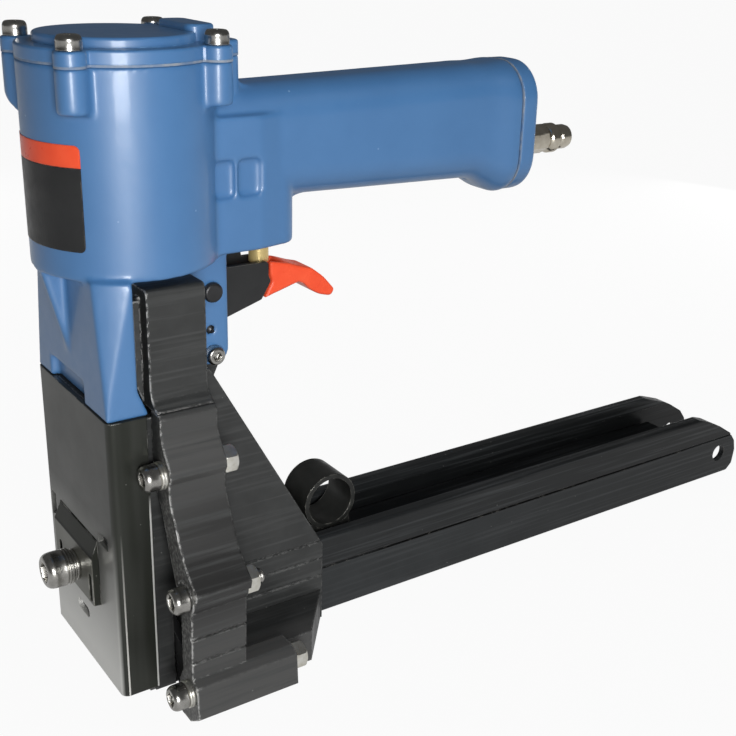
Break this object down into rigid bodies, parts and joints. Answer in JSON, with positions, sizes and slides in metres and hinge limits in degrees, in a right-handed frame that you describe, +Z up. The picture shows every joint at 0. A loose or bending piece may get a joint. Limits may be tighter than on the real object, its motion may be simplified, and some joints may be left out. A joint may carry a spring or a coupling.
{
  "type": "pneumatic carton stapler",
  "caption": "Hand-held air-driven carton stapler: blue cylinder and grip over a black nose with clinching claws, side struts and a long open magazine with a ring pusher.",
  "frame": {"origin": "on the carton plane, straight under the cylinder's axis, at the middle of the nose's underside", "axes": "+X to the rear along the magazine and handle, +Y to the operator's right, +Z up along the cylinder's axis"},
  "size_m": [0.3901, 0.1302, 0.251],
  "materials": {
    "blue_enamel": "glossy blue enamel over a die casting",
    "gasket_fibre": "matte",
    "chrome_screws": "bright plated",
    "zinc_nuts": "zinc plated",
    "liner_alloy": "machined",
    "seal_rubber": "matte",
    "brass_valve": "turned",
    "valve_plastic": "matte",
    "spring_steel": "drawn wire",
    "plug_chrome": "polished",
    "trigger_black": "black, satin",
    "trigger_red": "glossy moulded",
    "dark_pins": "blackened",
    "nose_plate": "dark satin sheet",
    "black_anodised": "black anodised extrusion",
    "tool_steel": "ground",
    "magazine_black": "glossy black anodised",
    "pusher_dark": "dark oiled"
  },
  "bodies": {
    "frame": {"body_casting": "blue_enamel", "cylinder_cap": "blue_enamel", "handle_end_cap": "blue_enamel", "cap_gasket": "gasket_fibre", "end_cap_gasket": "gasket_fibre", "cap_screws": "chrome_screws", "end_cap_screws": "chrome_screws", "strut_bolts": "chrome_screws", "lug_screw": "chrome_screws", "strut_nuts": "zinc_nuts", "cylinder_liner": "liner_alloy", "liner_seals": "seal_rubber", "rod_seal": "seal_rubber", "piston_bumper": "seal_rubber", "rod_bush": "brass_valve", "valve_body": "brass_valve", "head_valve_spring": "spring_steel", "valve_spring": "spring_steel", "pusher_spring": "spring_steel", "air_plug": "plug_chrome", "trigger_pin": "dark_pins", "front_plate": "nose_plate", "nose_block": "black_anodised", "main_frame": "black_anodised", "side_bracket_left": "black_anodised", "side_bracket_right": "black_anodised", "side_link_left": "black_anodised", "side_link_right": "black_anodised", "side_foot_left": "black_anodised", "side_foot_right": "black_anodised", "foot_bracket_left": "black_anodised", "foot_bracket_right": "black_anodised", "anvil_carrier": "tool_steel", "anvil_pins": "tool_steel", "magazine_channel": "magazine_black", "staple_core": "magazine_black"},
    "driver": {"piston": "liner_alloy", "piston_ring": "seal_rubber", "piston_rod": "tool_steel", "piston_nut": "zinc_nuts", "crosshead": "tool_steel", "crosshead_screw": "tool_steel", "cam_plate": "tool_steel", "driver_blade": "tool_steel"},
    "claw_left": {"anvil_left": "dark_pins", "roller_left": "tool_steel"},
    "claw_right": {"anvil_right": "dark_pins", "roller_right": "tool_steel"},
    "head_poppet": {"head_valve": "valve_plastic", "head_valve_seal": "seal_rubber"},
    "trigger": {"trigger_body": "trigger_black", "trigger_tip": "trigger_red", "trigger_rivet": "dark_pins"},
    "valve_plunger": {"valve_stem": "dark_pins"},
    "pusher": {"pusher_block": "pusher_dark", "pusher_ring": "pusher_dark"},
    "depth_gauge": {"gauge_block": "nose_plate", "gauge_screw": "chrome_screws", "gauge_washer": "chrome_screws", "gauge_nut": "zinc_nuts"}
  },
  "joints": [
    {"name": "drive_stroke", "type": "slide", "parent": "frame", "child": "driver", "axis": [0, 0, -1], "range_m": [0, 0.032]},
    {"name": "claw_left_swing", "type": "hinge", "parent": "frame", "child": "claw_left", "pos_m": [0, -0.018, 0.026], "axis": [1, 0, 0], "range_deg": [0, 51.6]},
    {"name": "claw_right_swing", "type": "hinge", "parent": "frame", "child": "claw_right", "pos_m": [0, 0.018, 0.026], "axis": [-1, 0, 0], "range_deg": [0, 51.6]},
    {"name": "head_valve_lift", "type": "slide", "parent": "frame", "child": "head_poppet", "axis": [0, 0, 1], "range_m": [0, 0.004], "stiffness_N_per_m": 1500, "springref_m": -0.006, "deforming": ["head_valve_spring"]},
    {"name": "trigger_pull", "type": "hinge", "parent": "frame", "child": "trigger", "pos_m": [0.0282, 0, 0.1536], "axis": [0, -1, 0], "range_deg": [0, 7.4], "stiffness_Nm_per_rad": 0.6, "springref_deg": -8.59},
    {"name": "valve_stem_lift", "type": "slide", "parent": "frame", "child": "valve_plunger", "axis": [0, 0, 1], "range_m": [0, 0.0036], "deforming": ["valve_spring"]},
    {"name": "pusher_slide", "type": "slide", "parent": "frame", "child": "pusher", "axis": [1, 0, 0], "range_m": [0, 0.205], "stiffness_N_per_m": 40, "springref_m": -0.1, "deforming": ["pusher_spring"]},
    {"name": "gauge_slide", "type": "slide", "parent": "frame", "child": "depth_gauge", "axis": [0, 0, 1], "range_m": [-0.005, 0.005]}
  ],
  "couplings": [
    {"joint": "claw_left_swing", "follows": "drive_stroke", "rad_per_m": 28.14},
    {"joint": "claw_right_swing", "follows": "drive_stroke", "rad_per_m": 28.14},
    {"joint": "valve_stem_lift", "follows": "trigger_pull", "m_per_rad": 0.0273}
  ]
}
